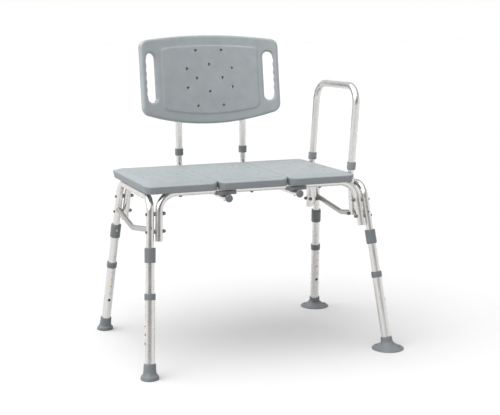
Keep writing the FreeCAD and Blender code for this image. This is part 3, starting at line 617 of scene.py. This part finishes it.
def back_panel():
    """Moulded back panel: raised pad, hand holes, drain holes and two post sockets behind."""
    mesh = plate("back_plate", [back_outline(), slot_outline(-1), slot_outline(1)], BACK_T, BACK_RIM)
    bm = bmesh.new()
    bm.from_mesh(mesh)
    bmesh.ops.remove_doubles(bm, verts=bm.verts, dist=0.01)
    for side in (-1, 1):
        r, length = BOSS_R, BOSS_HIGH - BOSS_LOW
        dome = [(r * 0.5, 0), (r * 0.85, 1.2), (r, 4.5), (r, length - 9), (r * 0.92, length - 4),
                (r * 0.7, length - 1), (r * 0.35, length)]
        at = Vector((side * BOSS_X, BOSS_Y, BOSS_LOW))
        rings = [ring(at + Z * h, Z, radius, 40) for radius, h in dome]
        skin(bm, rings, False)
    mesh = mesh_from(bm, "back_solid")
    mesh = modified(mesh, "back_voxels", "REMESH", mode="VOXEL", voxel_size=BACK_VOXEL, adaptivity=0.0)
    mesh = modified(mesh, "back_smooth", "SMOOTH", factor=0.5, iterations=3)
    co = coordinates(mesh)
    x, y, z = co[:, 0], co[:, 1], co[:, 2]
    inside_z = smooth_min(z - back_low(x) - PAD_LOW, back_high(x) - PAD_HIGH - z, 6)
    inside = smooth_min(PAD_HALF_W - np.abs(x), inside_z, PAD_CORNER)
    ahead = np.clip(-y / (BACK_T / 2), 0, 1)
    co[:, 1] -= PAD_RAISE * smoothstep((inside + 3) / 6) * ahead
    set_coordinates(mesh, co)
    cutter = bmesh.new()
    for hole_x, dz in BACK_HOLES:
        for sign in ((1,) if hole_x == 0 else (-1, 1)):
            at = Vector((sign * hole_x, -BACK_T, BACK_HOLES_MID + dz)) * MM
            flare = [(6.2, 0), (5.4, BACK_T / 2 - 2.6), (4.6, BACK_T / 2 - 1.6), (4.1, BACK_T / 2),
                     (4.0, BACK_T / 2 + 2), (4.0, 2 * BACK_T)]
            turn(cutter, flare, at, Y, 28, False)
    bmesh.ops.scale(cutter, vec=(1000, 1000, 1000), verts=cutter.verts)
    mesh = cut(mesh, mesh_from(cutter, "back_drains"), "back_panel_shape")
    co = coordinates(mesh)
    angle = np.arcsin(np.clip(co[:, 0] / BACK_PLAN_R, -1, 1))
    depth = BACK_PLAN_R + co[:, 1]
    co[:, 0], co[:, 1] = depth * np.sin(angle), depth * np.cos(angle) - BACK_PLAN_R
    set_coordinates(mesh, co * MM)
    mesh.transform(Matrix.Rotation(-BACK_LEAN, 4, "X"))
    return fitted(mesh, "back_panel")


def fitted(mesh, node):
    """Moves the mesh so that its box has the same middle as the node's box."""
    co = coordinates(mesh)
    middle = box_middle(node)
    mesh.transform(Matrix.Translation(middle - Vector((co.min(0) + co.max(0)) / 2)))
    return shade(mesh, 45)


finish_piece("back_panel_moulding", back_panel(), "upper_back", BACK_PLASTIC_PAINTED_LIGHTER, "back_plastic", "back_panel")

# ---------------------------------------------------------------- collars

def leg_line(leg):
    """A point on the leg's axis and its upward direction."""
    return box_middle("lower_collar_" + leg), -Vector(JOINTS[leg + "_height"]["axis"]).normalized()


# Length, then the radii of the outside, of the bore round the wider tube and of the neck above it.
UPPER_COLLAR = (43.0, 16.0, 12.8, 11.4)
LOWER_COLLAR = (18.4, 16.0, 14.35, 12.95)
COLLAR_LIP = 3.0
COLLAR_ROUNDING = 1.2


def collar(middle, axis, size):
    """Moulded ring with soft edges and a lip at its upper end."""
    length, radius, bore, neck = size
    half = length / 2
    under_lip = half - COLLAR_LIP
    corners = [(bore, -half, 0.3), (radius - 0.2, -half, 1.2), (radius, -half + 3, 1),
               (radius, half - 2.5, 1), (radius - 0.8, half, 1.4), (neck, half, 0.5),
               (neck, under_lip, 0.3), (bore, under_lip, 0.3)]
    bm = bmesh.new()
    turn(bm, rounded_profile(corners, COLLAR_ROUNDING), middle, axis, 64, True)
    return bm


for leg in LEGS:
    up = leg_line(leg)[1]
    for level, size in (("upper", UPPER_COLLAR), ("lower", LOWER_COLLAR)):
        node = level + "_collar_" + leg
        sleeve_name = level + "_sleeve_" + leg
        finish_piece(sleeve_name, mesh_from(collar(box_middle(node), up, size), sleeve_name),
                     level + "_leg_" + leg, COLLAR_PLASTIC, "collar_plastic", node)


# ---------------------------------------------------------------- feet

# Height up the leg and radius, both in mm. A sole's points run from its rim to the middle.
TIP = ((0.0, 20.0), (0.0, 24.6), (0.5, 25.6), (1.6, 26.0), (5.0, 26.0), (6.0, 25.6), (6.5, 24.7), (7.0, 24.7),
       (7.6, 25.3), (8.6, 25.2), (9.8, 24.2), (12.0, 21.6), (15.0, 19.6), (20.0, 18.5), (28.0, 17.9),
       (38.0, 17.4), (41.0, 17.2), (42.0, 16.8), (42.4, 16.2), (42.2, 15.2), (41.0, 14.5), (30.0, 14.4))
TIP_SOLE = ((0.0, 16.0), (1.4, 15.0), (1.4, 11.0), (0.0, 10.0), (0.0, 6.0), (1.4, 5.0), (1.4, 0.1))
CUP = ((0.2, 46.8), (0.0, 48.1), (0.6, 48.8), (1.6, 48.9), (2.6, 48.3), (4.0, 45.6), (6.0, 41.0), (8.6, 35.0),
       (11.6, 29.0), (14.6, 24.6), (17.0, 21.8), (19.0, 19.8), (21.0, 18.6), (24.0, 18.0), (30.0, 17.6),
       (34.5, 17.3), (35.6, 16.9), (36.0, 16.2), (35.8, 15.2), (34.6, 14.5), (28.0, 14.4))
CUP_SOLE = ((0.6, 45.0), (2.6, 38.0), (4.6, 30.0), (6.0, 20.0), (6.8, 10.0), (7.0, 0.1))
# Below LEVEL_BELOW the rings of a foot lie level. Above ALONG_ABOVE they are square to the leg.
LEVEL_BELOW, ALONG_ABOVE = 8, 26
FOOT_SHARP = 38


def foot_rings(leg, profile, count=72):
    """Rings up a foot. They lie level near the floor and turn square to the leg higher up."""
    at, up = leg_line(leg)
    heel = at - up * (at.z / up.z)
    rings = []
    for height, radius in profile:
        turned = float(smoothstep(np.array((height - LEVEL_BELOW) / (ALONG_ABOVE - LEVEL_BELOW))))
        normal = (Z * (1 - turned) + up * turned).normalized()
        rings.append(ring(heel + up * (height * MM / up.z), normal, radius * MM, count))
    return rings


def foot(leg, outer, sole):
    """Moulded foot: the hollow of its sole, then its outside up to the top."""
    bm = bmesh.new()
    skin(bm, foot_rings(leg, tuple(reversed(sole))) + foot_rings(leg, outer), False)
    return bm


for leg in ("front_left", "rear_left"):
    tip_name = "rubber_tip_" + leg
    finish_piece(tip_name, mesh_from(foot(leg, TIP, TIP_SOLE), tip_name, FOOT_SHARP), "lower_leg_" + leg,
                 FOOT_RUBBER, "foot_rubber", "foot_" + leg)

LUG_TURN = {"front_right": -35.0, "rear_right": -21.5}
LUG_REACH = 34.0
LUG = ((5.4, 4.0), (5.2, 9.6), (4.6, 11.0), (3.6, 11.4), (2.8, 10.8), (2.5, 8.5), (1.0, 8.2))
for leg, turn_degrees in LUG_TURN.items():
    bm = foot(leg, CUP, CUP_SOLE)
    at, up = leg_line(leg)
    heel = at - up * (at.z / up.z)
    for sign in (-1, 1):
        angle = math.radians(turn_degrees)
        lug = heel + Vector((math.cos(angle), math.sin(angle), 0)) * (sign * LUG_REACH * MM)
        turn(bm, LUG, lug, Z, 28, False)
    cup_name = "suction_cup_" + leg
    finish_piece(cup_name, mesh_from(bm, cup_name, FOOT_SHARP), "lower_leg_" + leg, FOOT_RUBBER,
                 "foot_rubber", "foot_" + leg)

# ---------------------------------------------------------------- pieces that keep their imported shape

for node, thing in NODES.items():
    if node in ("front_rail", "rear_rail"):
        thing.data.materials[0] = TUBE["x"]
    elif node.startswith("brace"):
        thing.data.materials[0] = BRACE
    elif node.startswith("backrest_tube"):
        thing.data.materials[0] = TUBE["y"]
    elif "button" in node:
        thing.data.materials[0] = BRASS
    elif "bolt" in node or "nut" in node or "screw" in node:
        thing.data.materials[0] = FASTENER
    elif node == "arm_collars":
        thing.data.materials[0] = ARM_PLASTIC
    elif "collar" in node or "plug" in node:
        thing.data.materials[0] = COLLAR_PLASTIC
    elif "saddle" in node or "spacer" in node:
        thing.data.materials[0] = GREY_PLASTIC
    else:
        thing.data.materials[0] = TUBE["z"]

# ---------------------------------------------------------------- floor, light and camera

FRONT_DARK = 0.12
TOP_DARK = 0.45
HORIZON_LOW, HORIZON_HIGH = 0.03, 0.15


def floor():
    """White studio floor, far larger than the view."""
    bm = bmesh.new()
    bmesh.ops.create_grid(bm, x_segments=4, y_segments=4, size=60)
    mesh = mesh_from(bm, "floor")
    material, shader = new_material("floor_paint")
    shade_of = ranged(material, noise_node(material, 0.7, (1, 1, 1), 2), 0, 1)
    material.node_tree.links.new(mixed(material, shade_of, (0.533, 0.533, 0.533), (0.547, 0.547, 0.547)),
                                 shader.inputs["Base Color"])
    shader.inputs["Roughness"].default_value = 0.9
    mesh.materials.append(material)
    thing = bpy.data.objects.new("floor", mesh)
    bpy.context.scene.collection.objects.link(thing)


def sun(name, towards, strength, spread):
    """Very large soft light. towards points from the bench to the light; spread is its size in degrees."""
    data = bpy.data.lights.new(name, "SUN")
    data.energy = strength
    data.angle = math.radians(spread)
    thing = bpy.data.objects.new(name, data)
    thing.rotation_euler = Vector(towards).to_track_quat("Z", "Y").to_euler()
    bpy.context.scene.collection.objects.link(thing)


def ramp_node(tree, value, low, high, at_low, at_high):
    """value mapped smoothly from low..high to at_low..at_high."""
    node = tree.nodes.new("ShaderNodeMapRange")
    node.interpolation_type = "SMOOTHSTEP"
    node.inputs["From Min"].default_value = low
    node.inputs["From Max"].default_value = high
    node.inputs["To Min"].default_value = at_low
    node.inputs["To Max"].default_value = at_high
    tree.links.new(value, node.inputs["Value"])
    return node.outputs["Result"]


def product_node(tree, first, second):
    node = tree.nodes.new("ShaderNodeMath")
    node.operation = "MULTIPLY"
    tree.links.new(first, node.inputs[0])
    tree.links.new(second, node.inputs[1])
    return node.outputs[0]


def facing_node(tree, direction):
    """Cosine between the direction looked in and the one given."""
    place = tree.nodes.new("ShaderNodeTexCoord")
    node = tree.nodes.new("ShaderNodeVectorMath")
    node.operation = "DOT_PRODUCT"
    node.inputs[1].default_value = direction
    tree.links.new(place.outputs["Generated"], node.inputs[0])
    return node.outputs["Value"]


def world():
    """White studio: dimmer overhead and dark in front, but white along the horizon, which low views see."""
    studio = bpy.data.worlds.new("studio")
    studio.use_nodes = True
    tree = studio.node_tree
    background = tree.nodes["Background"]
    height = facing_node(tree, (0, 0, 1))
    loss = ramp_node(tree, facing_node(tree, (-0.36, -0.92, 0.10)), 0.45, 0.90, 0.0, 1.0 - FRONT_DARK)
    loss = product_node(tree, loss, ramp_node(tree, height, HORIZON_LOW, HORIZON_HIGH, 0.0, 1.0))
    rest = tree.nodes.new("ShaderNodeMath")
    rest.operation = "SUBTRACT"
    rest.inputs[0].default_value = 1.0
    tree.links.new(loss, rest.inputs[1])
    strength = product_node(tree, rest.outputs[0], ramp_node(tree, height, 0.15, 0.8, 1.0, TOP_DARK))
    tree.links.new(strength, background.inputs["Strength"])
    background.inputs["Color"].default_value = (1, 1, 1, 1)
    bpy.context.scene.world = studio


def camera():
    """Long lens in front and to the open end's side, as high as the backrest's top, looking slightly down."""
    data = bpy.data.cameras.new("camera")
    data.sensor_width = 36.0
    data.lens = 74.52
    data.clip_end = 100
    thing = bpy.data.objects.new("camera", data)
    ahead = Vector((0.358264, 0.917889, -0.170665)).normalized()
    level = ahead.cross(Z).normalized()
    roll = math.radians(-0.258)
    right = level * math.cos(roll) + level.cross(ahead) * math.sin(roll)
    up = right.cross(ahead)
    turn_to = Matrix((right, up, -ahead)).transposed().to_4x4()
    thing.matrix_world = Matrix.Translation(LEG_CENTRE + Vector((-1.12755, -2.96743, 0.97147))) @ turn_to
    bpy.context.scene.collection.objects.link(thing)
    bpy.context.scene.camera = thing


floor()
world()
sun("key", (-0.50, -0.05, 0.87), 1.8, 80)
sun("second", (-0.38, -0.12, 0.92), 3.1, 80)
camera()
bpy.context.scene.view_settings.view_transform = "Standard"
